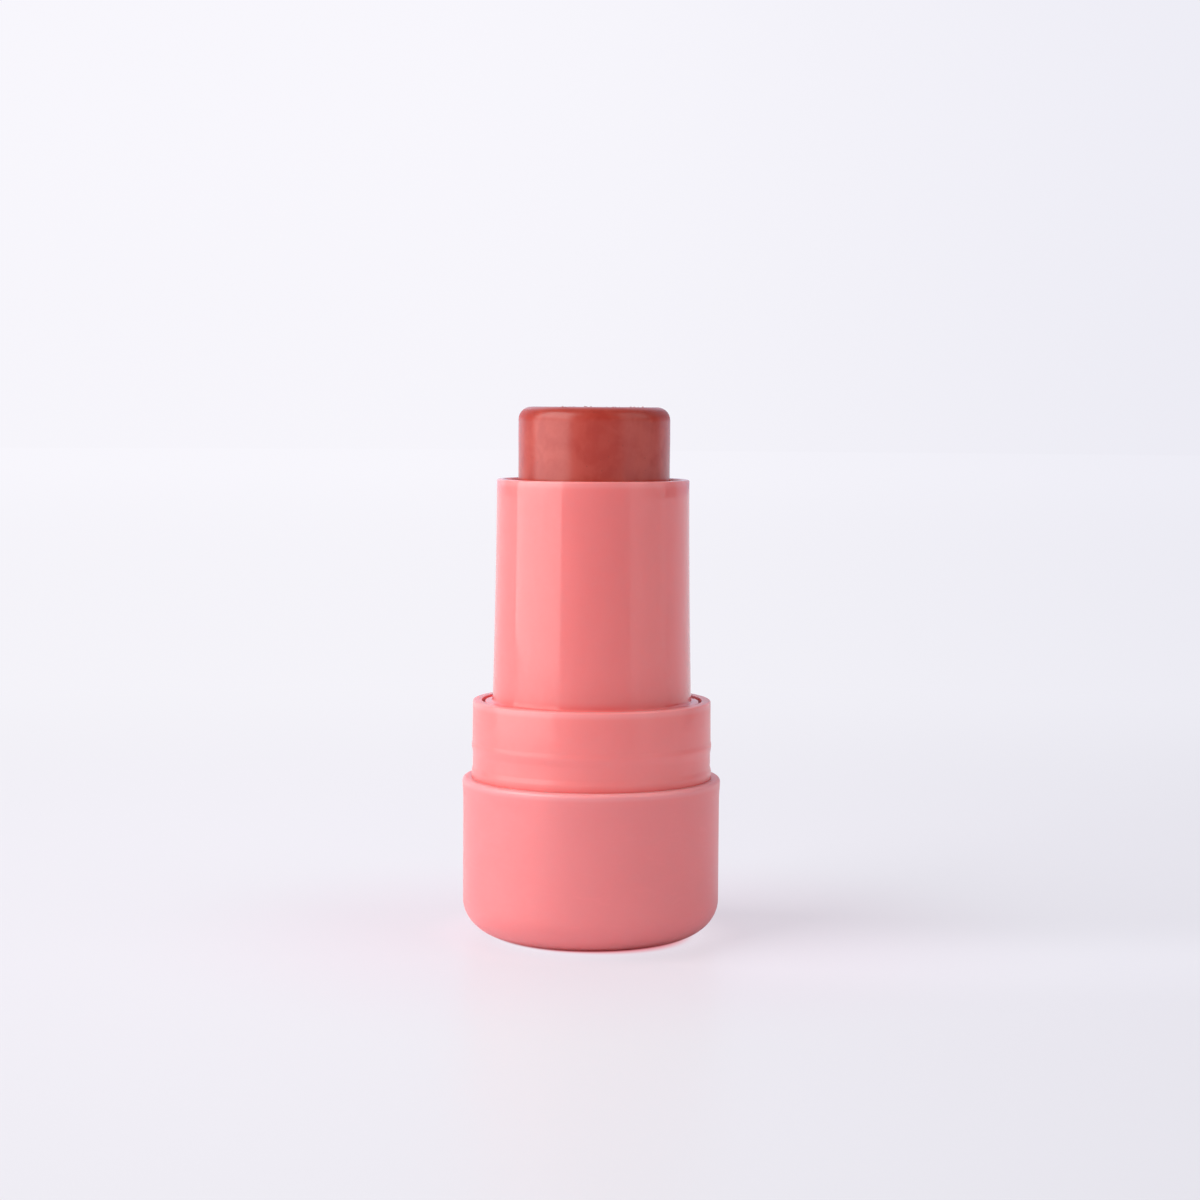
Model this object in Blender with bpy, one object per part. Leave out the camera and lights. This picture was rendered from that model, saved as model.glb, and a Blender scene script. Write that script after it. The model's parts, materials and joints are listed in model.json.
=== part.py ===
# Twist-up blush stick without its cap: a turned stack of mouldings round one axis.
# The base holds a slotted guide tube. The upper tube holds a sleeve with two helical grooves
# and turns round the guide. Two lugs on the carrier pass through the guide's slots into the
# grooves, so a turn of the tube lifts the carrier and the blush in it.
# Metres, +Z up, origin at the centre of the foot, modelled as photographed: 7.7 mm of blush out.

import math

import bmesh
import bpy
from mathutils import Matrix, Vector

MM = 0.001

# Blush and its carrier
BULLET_RADIUS = 8.17 * MM
BULLET_LENGTH = 25.5 * MM
BULLET_SHOWN = 7.7 * MM
BULLET_EDGE_ROUNDING = 1.35 * MM
ROOT_CLEARANCE = 0.12 * MM
CARRIER_WALL = 0.4 * MM
CARRIER_HEIGHT = 5.8 * MM
CARRIER_FLOOR = 0.8 * MM
CARRIER_CLEARANCE = 0.15 * MM
CARRIER_HOLE_RADIUS = 2.6 * MM
LUG_RADIUS = 0.5 * MM
LUG_HEIGHT = 1.2 * MM
LUG_CLEARANCE = 0.12 * MM

# Ends of the carrier's travel: its gap over the guide's floor and the blush's depth below the
# rim when wound down, and the carrier's depth below the rim when wound up
PARK_GAP = 1.48 * MM
RETRACT_DEPTH = 1.0 * MM
RIM_MARGIN = 0.3 * MM

# Slotted guide tube, fixed in the base
GUIDE_CLEARANCE = 0.28 * MM
GUIDE_WALL = 0.5 * MM
GUIDE_RECESS = 0.6 * MM
GUIDE_LIP_THICKNESS = 0.7 * MM
GUIDE_FLANGE_THICKNESS = 0.8 * MM
GUIDE_HOLE_RADIUS = 2.2 * MM
SPIGOT_STEP = 1.25 * MM
SPIGOT_WALL = 0.8 * MM
SPIGOT_LENGTH = 5.2 * MM
SPLINE_COUNT = 4
SPLINE_HEIGHT = 0.5 * MM
SPLINE_WIDTH = 1.4 * MM
SPLINE_LEAD_IN = 0.5 * MM

# Cam sleeve, fixed in the upper tube
SLEEVE_CLEARANCE = 0.1 * MM
SLEEVE_WALL = 0.6 * MM
SLEEVE_LEAD = 18.0 * MM
GROOVE_DEPTH = 0.4 * MM
SLEEVE_FLANGE_THICKNESS = 0.7 * MM
SLEEVE_FOOT_LENGTH = 1.2 * MM

# Friction ring between the guide's flange and the sleeve's foot
FRICTION_RING_SECTION = 1.0 * MM
FRICTION_RING_CLEARANCE = 0.1 * MM

# Upper tube
SHELL_CLEARANCE = 0.13 * MM
TUBE_WALL = 0.67 * MM
TUBE_DRAFT = 0.32 * MM
TUBE_DRAFT_POWER = 1.6
TUBE_RIM_ROUNDING = 0.16 * MM
TUBE_FOOT_ROUNDING = 0.3 * MM
SHOULDER_STEP = 1.04 * MM
SHOULDER_THICKNESS = 1.2 * MM
SKIRT_WALL = 0.9 * MM

# Neck ring, with the two low beads that a cap snaps over
TWIST_GROOVE = 0.49 * MM
NECK_WALL = 0.69 * MM
NECK_RISE = 8.7 * MM
NECK_RIM_ROUNDING = 0.15 * MM
UPPER_BEAD_HEIGHT = 3.8 * MM
UPPER_BEAD_PROUD = 0.12 * MM
LOWER_BEAD_HEIGHT = 1.15 * MM
LOWER_BEAD_PROUD = 0.09 * MM
BEAD_WIDTH = 1.3 * MM
PARTITION_THICKNESS = 1.0 * MM
SOCKET_CLEARANCE = 0.15 * MM
SOCKET_WALL = 1.5 * MM
SOCKET_TAIL = 0.6 * MM
INSERT_RIB_COUNT = 6
INSERT_RIB_WIDTH = 0.8 * MM
INSERT_RIB_DEPTH = 1.6 * MM
SNAP_DEPTH = 5.4 * MM
SNAP_WIDTH = 1.2 * MM
SNAP_PROUD = 0.12 * MM

# Base cup
INSERT_CLEARANCE = 0.21 * MM
BASE_WALL = 0.8 * MM
BASE_HEIGHT = 17.4 * MM
BASE_FLOOR = 1.3 * MM
FOOT_ROUNDING = 4.6 * MM
FOOT_RING_WIDTH = 2.2 * MM
FOOT_RECESS_DEPTH = 0.25 * MM
LIP_FLARE = 0.157 * MM
LIP_HEIGHT = 2.5 * MM
BASE_RIM_ROUNDING = 0.22 * MM
BASE_RIB_COUNT = 6
BASE_RIB_WIDTH = 0.9 * MM
BASE_RIB_HEIGHT = 5.5 * MM
BASE_RIB_REACH = 0.6 * MM
BASE_RIB_SEAT = 1.6 * MM
BASE_RIB_TOE = 1.4 * MM

# Gaps between stacked faces, and how far a cutter runs past what it cuts
SEAT_GAP = 0.2 * MM
OVERRUN = 0.3 * MM
MERGE_DISTANCE = 0.0001 * MM

OUTER_FACETS = 56
INNER_FACETS = 44
ARC_STEPS = 5
FINE_ARC_STEPS = 3
RING_SIDES = 8
LUG_SIDES = 12

# Radii, from the blush outwards
guide_bore = BULLET_RADIUS + GUIDE_CLEARANCE
guide_radius = guide_bore + GUIDE_WALL
carrier_radius = guide_bore - CARRIER_CLEARANCE
carrier_bore = carrier_radius - CARRIER_WALL
sleeve_bore = guide_radius + SLEEVE_CLEARANCE
sleeve_radius = sleeve_bore + SLEEVE_WALL
groove_radius = sleeve_bore + GROOVE_DEPTH
lug_tip_radius = groove_radius - LUG_CLEARANCE
tube_bore = sleeve_radius + SHELL_CLEARANCE
tube_top_radius = tube_bore + TUBE_WALL
tube_foot_radius = tube_top_radius + TUBE_DRAFT
skirt_radius = tube_foot_radius + SHOULDER_STEP
skirt_bore = skirt_radius - SKIRT_WALL
neck_bore = skirt_radius + TWIST_GROOVE
neck_radius = neck_bore + NECK_WALL
base_bore = neck_radius + INSERT_CLEARANCE
base_radius = base_bore + BASE_WALL
spigot_radius = guide_bore - SPIGOT_STEP
socket_bore = spigot_radius + SOCKET_CLEARANCE
socket_radius = socket_bore + SOCKET_WALL

# Heights of the insert, which stands on the base's ribs, and of the mechanism in its neck
neck_rim = BASE_HEIGHT + NECK_RISE
neck_bottom = BASE_FLOOR + BASE_RIB_HEIGHT + SEAT_GAP
skirt_shoulder = neck_rim - SHOULDER_THICKNESS
sleeve_flange_top = skirt_shoulder - SEAT_GAP
sleeve_flange_bottom = sleeve_flange_top - SLEEVE_FLANGE_THICKNESS
sleeve_bottom = sleeve_flange_bottom - SLEEVE_FOOT_LENGTH
ring_top = sleeve_bottom - FRICTION_RING_CLEARANCE
flange_top = ring_top - FRICTION_RING_SECTION - FRICTION_RING_CLEARANCE
flange_bottom = flange_top - GUIDE_FLANGE_THICKNESS
skirt_bottom = flange_top + SEAT_GAP
partition_top = flange_bottom - SEAT_GAP
partition_bottom = partition_top - PARTITION_THICKNESS
spigot_bottom = flange_bottom - SPIGOT_LENGTH
socket_bottom = spigot_bottom - SOCKET_TAIL

# Heights of the blush and its carrier: wound down, the blush parks below the tube's rim
parked_carrier_bottom = flange_top + PARK_GAP
parked_bullet_top = parked_carrier_bottom + CARRIER_FLOOR + ROOT_CLEARANCE + BULLET_LENGTH
tube_rim = parked_bullet_top + RETRACT_DEPTH
guide_top = tube_rim - GUIDE_RECESS
guide_lip_bottom = guide_top - GUIDE_LIP_THICKNESS
sleeve_top = guide_lip_bottom - SEAT_GAP
travel_down = BULLET_SHOWN + RETRACT_DEPTH
carrier_bottom = parked_carrier_bottom + travel_down
carrier_floor_top = carrier_bottom + CARRIER_FLOOR
carrier_rim = carrier_bottom + CARRIER_HEIGHT
lug_level = carrier_bottom + LUG_HEIGHT
bullet_bottom = carrier_floor_top + ROOT_CLEARANCE
bullet_top = bullet_bottom + BULLET_LENGTH
travel_up = tube_rim - RIM_MARGIN - carrier_rim


def material(name, colour, roughness, metallic=0.0):
    made = bpy.data.materials.new(name)
    made.use_nodes = True
    shader = made.node_tree.nodes["Principled BSDF"]
    shader.inputs["Base Color"].default_value = (*colour, 1.0)
    shader.inputs["Roughness"].default_value = roughness
    shader.inputs["Metallic"].default_value = metallic
    return made


def finished(name, mesh, look):
    """A new object for this mesh, shaded smooth except at its real edges."""
    mesh.materials.append(look)
    mesh.shade_smooth()
    mesh.set_sharp_from_angle(angle=math.radians(30))
    piece = bpy.data.objects.new(name, mesh)
    bpy.context.collection.objects.link(piece)
    return piece


def arc(centre_radius, centre_height, rounding, start, end, steps=ARC_STEPS):
    """Outline points along an arc. Angles are in degrees, counterclockwise from outwards."""
    points = []
    for step in range(steps + 1):
        angle = math.radians(start + (end - start) * step / steps)
        radius = centre_radius + rounding * math.cos(angle)
        points.append((radius, centre_height + rounding * math.sin(angle)))
    return points


def bead(radius, height, width, proud, shares=(1.0, 0.5, 0.0, -0.5, -1.0)):
    """Outline points of a low rounded ring, from its top down."""
    points = []
    for share in shares:
        rise = proud * (1.0 + math.cos(math.pi * share)) / 2.0
        points.append((radius + rise, height + share * width / 2.0))
    return points


def turned(name, outline, facets, look):
    """Turns an outline of (radius, height) points round the axis.

    The outline runs down the outer side. It closes on itself unless it starts on the axis."""
    mesh = bpy.data.meshes.new(name)
    points = [(radius, 0.0, height) for radius, height in outline]
    edges = [(index, index + 1) for index in range(len(points) - 1)]
    if outline[0][0] > 0.0:
        edges.append((len(points) - 1, 0))
    mesh.from_pydata(points, edges, [])
    piece = finished(name, mesh, look)
    screw = piece.modifiers.new("Turn", "SCREW")
    screw.steps = facets
    screw.render_steps = facets
    screw.use_merge_vertices = True
    screw.merge_threshold = MERGE_DISTANCE
    return piece


def helper(name, mesh):
    """A cutter or an addition: kept in the file, hidden in the render and drawn as wire."""
    shape = bpy.data.objects.new(name, mesh)
    shape.hide_render = True
    shape.display_type = "WIRE"
    bpy.context.collection.objects.link(shape)
    return shape


def rib_helper(name, outline, width, turn):
    """A plate with this (radius, height) outline, standing on the axis plane and turned round it."""
    mesh = bpy.data.meshes.new(name)
    model = bmesh.new()
    side = [model.verts.new((radius, -width / 2.0, height)) for radius, height in outline]
    made = bmesh.ops.extrude_face_region(model, geom=[model.faces.new(side)])
    moved = [item for item in made["geom"] if isinstance(item, bmesh.types.BMVert)]
    bmesh.ops.translate(model, verts=moved, vec=(0.0, width, 0.0))
    bmesh.ops.rotate(model, verts=model.verts, cent=(0.0, 0.0, 0.0), matrix=Matrix.Rotation(turn, 3, "Z"))
    bmesh.ops.recalc_face_normals(model, faces=model.faces)
    model.to_mesh(mesh)
    model.free()
    return helper(name, mesh)


def combine(piece, shape, operation):
    change = piece.modifiers.new(shape.name, "BOOLEAN")
    change.operation = operation
    change.solver = "EXACT"
    change.object = shape


def around(count):
    """The angles of this many places spread evenly round the axis."""
    return [2.0 * math.pi * index / count for index in range(count)]


def base_cup(look):
    """Soft-touch outer cup: rounded foot with a standing ring, slight lip flare, ribs inside."""
    foot_radius = base_radius - FOOT_ROUNDING
    inner_rounding = FOOT_ROUNDING - BASE_WALL
    rim = BASE_HEIGHT - BASE_RIM_ROUNDING
    outline = [(0.0, BASE_FLOOR)]
    outline += arc(foot_radius, BASE_FLOOR + inner_rounding, inner_rounding, 270, 360, 2 * FINE_ARC_STEPS)
    outline += reversed(snap_bead(base_bore))
    outline += arc(base_bore + BASE_RIM_ROUNDING, rim, BASE_RIM_ROUNDING, 180, 90, FINE_ARC_STEPS)
    lip_centre = base_radius + LIP_FLARE - BASE_RIM_ROUNDING
    outline += arc(lip_centre, rim, BASE_RIM_ROUNDING, 90, 0, FINE_ARC_STEPS)
    flare_height = LIP_HEIGHT - BASE_RIM_ROUNDING
    for share in (0.7, 0.4, 0.0):
        outline.append((base_radius + LIP_FLARE * share**2, rim - flare_height * (1.0 - share)))
    outline += arc(foot_radius, FOOT_ROUNDING, FOOT_ROUNDING, 0, -90)
    outline.append((foot_radius - FOOT_RING_WIDTH, 0.0))
    outline.append((foot_radius - FOOT_RING_WIDTH - FOOT_RECESS_DEPTH, FOOT_RECESS_DEPTH))
    outline.append((0.0, FOOT_RECESS_DEPTH))
    cup = turned("base_cup", outline, OUTER_FACETS, look)
    rib = base_rib_outline(foot_radius)
    for index, turn in enumerate(around(BASE_RIB_COUNT)):
        combine(cup, rib_helper(f"base_rib_{index}", rib, BASE_RIB_WIDTH, turn), "UNION")
    return cup


def base_rib_outline(foot_radius):
    """A gusset that stands on the cup's floor, rooted half way into its wall and floor."""
    top = BASE_FLOOR + BASE_RIB_HEIGHT
    inner_edge = foot_radius - BASE_RIB_REACH
    floor_middle = (BASE_FLOOR + FOOT_RECESS_DEPTH) / 2.0
    rounding = base_bore + BASE_WALL / 2.0 - foot_radius
    outline = [(base_bore - BASE_RIB_SEAT, top), (base_bore + BASE_WALL / 2.0, top)]
    outline += arc(foot_radius, floor_middle + rounding, rounding, 0, -90, FINE_ARC_STEPS)
    outline.append((inner_edge, floor_middle))
    outline.append((inner_edge, BASE_FLOOR + BASE_RIB_TOE))
    return outline


def snap_bead(radius):
    """The bead that holds the insert in the base, and the same shape as a groove in the base."""
    return bead(radius, BASE_HEIGHT - SNAP_DEPTH, SNAP_WIDTH, SNAP_PROUD, (1.0, 0.0, -1.0))


def neck_insert(look):
    """Neck ring with two cap beads, its skirt inside the base, and the socket for the guide."""
    rim = neck_rim - NECK_RIM_ROUNDING
    outline = arc(neck_radius - NECK_RIM_ROUNDING, rim, NECK_RIM_ROUNDING, 90, 0, FINE_ARC_STEPS)
    outline += bead(neck_radius, BASE_HEIGHT + UPPER_BEAD_HEIGHT, BEAD_WIDTH, UPPER_BEAD_PROUD)
    outline += bead(neck_radius, BASE_HEIGHT + LOWER_BEAD_HEIGHT, BEAD_WIDTH, LOWER_BEAD_PROUD)
    outline += snap_bead(neck_radius)
    outline.append((neck_radius, neck_bottom))
    outline.append((neck_bore, neck_bottom))
    outline.append((neck_bore, partition_bottom))
    outline.append((socket_radius, partition_bottom))
    outline.append((socket_radius, socket_bottom))
    outline.append((socket_bore, socket_bottom))
    outline.append((socket_bore, partition_top))
    outline.append((neck_bore, partition_top))
    outline += arc(neck_bore + NECK_RIM_ROUNDING, rim, NECK_RIM_ROUNDING, 180, 90, FINE_ARC_STEPS)
    insert = turned("neck_insert", outline, OUTER_FACETS, look)
    inner_end = socket_radius - SOCKET_WALL / 2.0
    outer_end = neck_bore + NECK_WALL / 2.0
    top = partition_top - PARTITION_THICKNESS / 2.0
    rib = [
        (inner_end, top),
        (outer_end, top),
        (outer_end, partition_bottom - INSERT_RIB_DEPTH),
        (inner_end, spigot_bottom),
    ]
    for index, turn in enumerate(around(INSERT_RIB_COUNT)):
        combine(insert, rib_helper(f"insert_rib_{index}", rib, INSERT_RIB_WIDTH, turn), "UNION")
    notch_radius = spigot_radius + SPLINE_HEIGHT + SOCKET_CLEARANCE
    notch = [
        (socket_bore - OVERRUN, partition_top + OVERRUN),
        (notch_radius, partition_top + OVERRUN),
        (notch_radius, socket_bottom - OVERRUN),
        (socket_bore - OVERRUN, socket_bottom - OVERRUN),
    ]
    notch_width = SPLINE_WIDTH + 2.0 * SOCKET_CLEARANCE
    for index, turn in enumerate(around(SPLINE_COUNT)):
        combine(insert, rib_helper(f"socket_notch_{index}", notch, notch_width, turn), "DIFFERENCE")
    return insert


def guide_tube(look):
    """Inner tube with two upright slots, a lip that keeps the sleeve on, and a splined spigot."""
    lip_radius = sleeve_radius
    flange_radius = skirt_radius
    outline = [
        (lip_radius, guide_top),
        (lip_radius, guide_lip_bottom),
        (guide_radius, guide_lip_bottom),
        (guide_radius, flange_top),
        (flange_radius, flange_top),
        (flange_radius, flange_bottom),
        (spigot_radius, flange_bottom),
        (spigot_radius, spigot_bottom),
        (spigot_radius - SPIGOT_WALL, spigot_bottom),
        (spigot_radius - SPIGOT_WALL, flange_bottom),
        (GUIDE_HOLE_RADIUS, flange_bottom),
        (GUIDE_HOLE_RADIUS, flange_top),
        (guide_bore, flange_top),
        (guide_bore, guide_top),
    ]
    guide = turned("guide_tube", outline, INNER_FACETS, look)
    half_slot = LUG_RADIUS + LUG_CLEARANCE
    slot_bottom = lug_level - travel_down - half_slot
    slot_top = lug_level + travel_up + half_slot
    slots = [
        (-guide_radius - OVERRUN, slot_top),
        (guide_radius + OVERRUN, slot_top),
        (guide_radius + OVERRUN, slot_bottom),
        (-guide_radius - OVERRUN, slot_bottom),
    ]
    combine(guide, rib_helper("guide_slots", slots, 2.0 * half_slot, 0.0), "DIFFERENCE")
    flange_middle = flange_bottom + GUIDE_FLANGE_THICKNESS / 2.0
    spline = [
        (spigot_radius - SPIGOT_WALL / 2.0, flange_middle),
        (spigot_radius + SPLINE_HEIGHT, flange_middle),
        (spigot_radius + SPLINE_HEIGHT, spigot_bottom + SPLINE_LEAD_IN),
        (spigot_radius - SPIGOT_WALL / 2.0, spigot_bottom + SPLINE_LEAD_IN),
    ]
    for index, turn in enumerate(around(SPLINE_COUNT)):
        combine(guide, rib_helper(f"spigot_spline_{index}", spline, SPLINE_WIDTH, turn), "UNION")
    return guide


def friction_ring(look):
    """Silicone ring that the guide's flange and the sleeve's foot squeeze, for an even twist."""
    section = FRICTION_RING_SECTION / 2.0
    centre = guide_radius + FRICTION_RING_CLEARANCE + section
    outline = arc(centre, ring_top - section, section, 90, -270, RING_SIDES)[:-1]
    return turned("friction_ring", outline, INNER_FACETS, look)


def helical_groove(name, turn):
    """Cutter of one groove: a bar that winds up round the axis, past both ends of the travel."""
    half_height = (LUG_RADIUS + LUG_CLEARANCE) / math.cos(math.atan2(SLEEVE_LEAD, math.tau * sleeve_bore))
    run_out = (LUG_RADIUS + LUG_CLEARANCE) / sleeve_bore
    start = -math.tau * travel_down / SLEEVE_LEAD - run_out
    sweep = math.tau * (travel_down + travel_up) / SLEEVE_LEAD + 2.0 * run_out
    steps = math.ceil(sweep / (math.tau / INNER_FACETS))
    start_level = lug_level + SLEEVE_LEAD * start / math.tau
    section = [
        (sleeve_bore - OVERRUN, start_level - half_height),
        (groove_radius, start_level - half_height),
        (groove_radius, start_level + half_height),
        (sleeve_bore - OVERRUN, start_level + half_height),
    ]
    place = Matrix.Rotation(turn + start, 3, "Z")
    model = bmesh.new()
    corners = [model.verts.new(place @ Vector((radius, 0.0, height))) for radius, height in section]
    face = model.faces.new(corners)
    bmesh.ops.spin(
        model,
        geom=[face, *face.edges, *face.verts],
        cent=(0.0, 0.0, 0.0),
        axis=(0.0, 0.0, 1.0),
        dvec=(0.0, 0.0, SLEEVE_LEAD * sweep / math.tau / steps),
        angle=sweep,
        steps=steps,
    )
    bmesh.ops.recalc_face_normals(model, faces=model.faces)
    mesh = bpy.data.meshes.new(name)
    model.to_mesh(mesh)
    model.free()
    return helper(name, mesh)


def cam_sleeve(look):
    """Sleeve fixed in the upper tube, with two helical grooves on its inner side."""
    flange_radius = skirt_bore - SHELL_CLEARANCE
    outline = [
        (sleeve_radius, sleeve_top),
        (sleeve_radius, sleeve_flange_top),
        (flange_radius, sleeve_flange_top),
        (flange_radius, sleeve_flange_bottom),
        (sleeve_radius, sleeve_flange_bottom),
        (sleeve_radius, sleeve_bottom),
        (sleeve_bore, sleeve_bottom),
        (sleeve_bore, sleeve_top),
    ]
    sleeve = turned("cam_sleeve", outline, INNER_FACETS, look)
    for index, turn in enumerate(around(2)):
        combine(sleeve, helical_groove(f"groove_{index}", turn), "DIFFERENCE")
    return sleeve


def tube_shell(look):
    """Glossy upper tube, slightly tapered, with a shoulder and a skirt that turns in the neck."""
    rim = tube_rim - TUBE_RIM_ROUNDING
    foot = neck_rim + TUBE_FOOT_ROUNDING
    outline = arc(tube_top_radius - TUBE_RIM_ROUNDING, rim, TUBE_RIM_ROUNDING, 90, 0, FINE_ARC_STEPS)
    for share in (0.25, 0.5, 0.75):
        radius = tube_top_radius + TUBE_DRAFT * share**TUBE_DRAFT_POWER
        outline.append((radius, rim - (rim - foot) * share))
    outline += arc(
        tube_foot_radius + TUBE_FOOT_ROUNDING, foot, TUBE_FOOT_ROUNDING, 180, 270, FINE_ARC_STEPS
    )
    edge = skirt_radius - NECK_RIM_ROUNDING
    outline += arc(edge, neck_rim - NECK_RIM_ROUNDING, NECK_RIM_ROUNDING, 90, 0, FINE_ARC_STEPS)
    outline.append((skirt_radius, skirt_bottom))
    outline.append((skirt_bore, skirt_bottom))
    outline.append((skirt_bore, skirt_shoulder))
    outline.append((tube_bore, skirt_shoulder))
    outline += arc(tube_bore + TUBE_RIM_ROUNDING, rim, TUBE_RIM_ROUNDING, 180, 90, FINE_ARC_STEPS)
    return turned("tube_shell", outline, OUTER_FACETS, look)


def carrier_cup(look):
    """Cup that grips the root of the blush, with two lugs that reach into the grooves."""
    outline = [
        (carrier_radius, carrier_rim),
        (carrier_radius, carrier_bottom),
        (CARRIER_HOLE_RADIUS, carrier_bottom),
        (CARRIER_HOLE_RADIUS, carrier_floor_top),
        (carrier_bore, carrier_floor_top),
        (carrier_bore, carrier_rim),
    ]
    cup = turned("carrier_cup", outline, INNER_FACETS, look)
    root = carrier_radius - CARRIER_WALL / 2.0
    for index, turn in enumerate(around(2)):
        mesh = bpy.data.meshes.new(f"lug_{index}")
        model = bmesh.new()
        place = (
            Matrix.Rotation(turn, 4, "Z")
            @ Matrix.Translation(((root + lug_tip_radius) / 2.0, 0.0, lug_level))
            @ Matrix.Rotation(math.pi / 2.0, 4, "Y")
        )
        bmesh.ops.create_cone(
            model,
            cap_ends=True,
            segments=LUG_SIDES,
            radius1=LUG_RADIUS,
            radius2=LUG_RADIUS,
            depth=lug_tip_radius - root,
            matrix=place,
        )
        model.to_mesh(mesh)
        model.free()
        combine(cup, helper(mesh.name, mesh), "UNION")
    return cup


def blush_bullet(look):
    """Cylinder of blush with a rounded top edge and a slimmer root inside the carrier."""
    root_radius = carrier_bore - ROOT_CLEARANCE
    shoulder = carrier_rim + ROOT_CLEARANCE
    edge = BULLET_RADIUS - BULLET_EDGE_ROUNDING
    outline = [(0.0, bullet_top)]
    outline += arc(edge, bullet_top - BULLET_EDGE_ROUNDING, BULLET_EDGE_ROUNDING, 90, 0)
    outline.append((BULLET_RADIUS, shoulder))
    outline.append((root_radius, shoulder))
    outline.append((root_radius, bullet_bottom))
    outline.append((0.0, bullet_bottom))
    return turned("blush_bullet", outline, OUTER_FACETS, look)


def moving_group(name, pieces, level=0.0):
    """An empty on the axis that carries the pieces of one moving body."""
    group = bpy.data.objects.new(name, None)
    group.empty_display_size = base_radius
    group.location = (0.0, 0.0, level)
    bpy.context.collection.objects.link(group)
    bpy.context.view_layer.update()
    for piece in pieces:
        piece.parent = group
        piece.matrix_parent_inverse = group.matrix_world.inverted()
    return group


def main():
    for item in list(bpy.data.objects):
        bpy.data.objects.remove(item)
    soft_pink = material("soft_touch_pink", (0.84, 0.22, 0.23), 0.6)
    satin_pink = material("satin_pink", (0.84, 0.22, 0.23), 0.42)
    gloss_pink = material("gloss_pink", (0.84, 0.22, 0.23), 0.16)
    natural = material("natural_resin", (0.78, 0.76, 0.72), 0.4)
    silicone = material("clear_silicone", (0.62, 0.60, 0.58), 0.5)
    brick_red = material("blush_brick_red", (0.42, 0.065, 0.048), 0.45)
    base_cup(soft_pink)
    neck_insert(satin_pink)
    guide_tube(natural)
    friction_ring(silicone)
    moving_group("tube_axis", [tube_shell(gloss_pink), cam_sleeve(natural)], neck_rim)
    moving_group("carrier_axis", [carrier_cup(natural), blush_bullet(brick_red)], carrier_bottom)
    turn_down = math.degrees(math.tau * travel_down / SLEEVE_LEAD)
    turn_up = math.degrees(math.tau * travel_up / SLEEVE_LEAD)
    print(f"carrier travel {-travel_down / MM:.3f} to {travel_up / MM:.3f} mm")
    print(f"tube turn {-turn_down:.2f} to {turn_up:.2f} degrees")


main()
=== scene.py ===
"""Twist-up blush stick with its cap off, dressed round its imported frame.

The file is laid out as a Blender add-on. Lengths are in metres, +Z is up along the turning
axis, and the photograph's camera looks along +Y."""

import json
import math
import random

import bmesh
import bpy
from bpy.props import FloatProperty, FloatVectorProperty, IntProperty, PointerProperty
from bpy.types import Operator, Panel, PropertyGroup
from mathutils import Matrix, Vector


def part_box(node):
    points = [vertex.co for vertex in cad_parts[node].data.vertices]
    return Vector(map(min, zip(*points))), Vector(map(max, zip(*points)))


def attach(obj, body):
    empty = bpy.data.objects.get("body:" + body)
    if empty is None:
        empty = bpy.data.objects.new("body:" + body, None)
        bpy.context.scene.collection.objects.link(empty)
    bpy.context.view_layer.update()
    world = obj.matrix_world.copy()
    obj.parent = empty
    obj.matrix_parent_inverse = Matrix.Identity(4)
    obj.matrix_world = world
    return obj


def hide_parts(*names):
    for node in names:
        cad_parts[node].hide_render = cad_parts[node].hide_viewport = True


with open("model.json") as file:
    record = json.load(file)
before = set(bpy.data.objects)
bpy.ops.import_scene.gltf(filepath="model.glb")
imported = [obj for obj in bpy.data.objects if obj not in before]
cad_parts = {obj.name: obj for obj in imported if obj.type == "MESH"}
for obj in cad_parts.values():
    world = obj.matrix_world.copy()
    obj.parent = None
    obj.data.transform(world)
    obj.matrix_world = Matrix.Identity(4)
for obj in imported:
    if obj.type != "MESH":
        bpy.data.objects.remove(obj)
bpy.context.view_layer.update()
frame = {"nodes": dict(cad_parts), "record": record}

bl_info = {
    "name": "Blush Stick",
    "version": (1, 0, 0),
    "blender": (4, 5, 0),
    "location": "View3D > Sidebar > Blush Stick",
    "description": "Models and finishes a twist-up blush stick round its packed frame",
    "category": "Object",
}

MM = 0.001
MERGE_DISTANCE = 0.0005 * MM
SAME_PLACE = 0.002 * MM
LUG_HEIGHT = 1.2 * MM

# Crumbs on the near edge of the blush's top, in millimetres across and deep, and one on its side
NEAR_CRUMBS = (
    (-3.3, -6.3), (-3.0, -6.5), (-2.5, -6.4), (-2.0, -6.1),
    (2.1, -6.6), (4.4, -5.2), (4.8, -4.9), (5.3, -4.2),
)
SIDE_CRUMB_DEPTH = 5.1 * MM

# Bands of the floor round the stick, in metres from its axis: for its painted contact shadow,
# bounce light, halo and glow, and for its fade to the backdrop
CONTACT_BAND = (0.0098, 0.0110)
FOOT_BAND = (0.0085, 0.0101)
SHADOW_BAND = (0.0085, 0.016)
HALO_BAND = (0.0105, 0.020)
BOUNCE_BAND = (0.02, 0.055)
FADE_BAND = (0.03, 0.26)

base_low, base_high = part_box("base_cup")
neck_low, neck_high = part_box("neck_insert")
tube_low, tube_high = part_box("tube_shell")
guide_low, guide_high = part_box("guide_tube")
blush_low, blush_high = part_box("blush_bullet")
carrier_low, carrier_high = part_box("carrier_cup")


# Sizes and colours that a user would change


def length(name, description, millimetres):
    return FloatProperty(
        name=name, description=description, default=millimetres * MM, min=0.0,
        precision=5, subtype="DISTANCE", unit="LENGTH",
    )


def level(name, description, default):
    return FloatProperty(name=name, description=description, default=default, min=0.0)


def share(name, description, default):
    return FloatProperty(
        name=name, description=description, default=default, min=0.0, max=1.0, subtype="FACTOR"
    )


def colour(name, description, default):
    return FloatVectorProperty(
        name=name, description=description, default=default,
        size=3, min=0.0, max=1.0, subtype="COLOR",
    )


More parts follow.
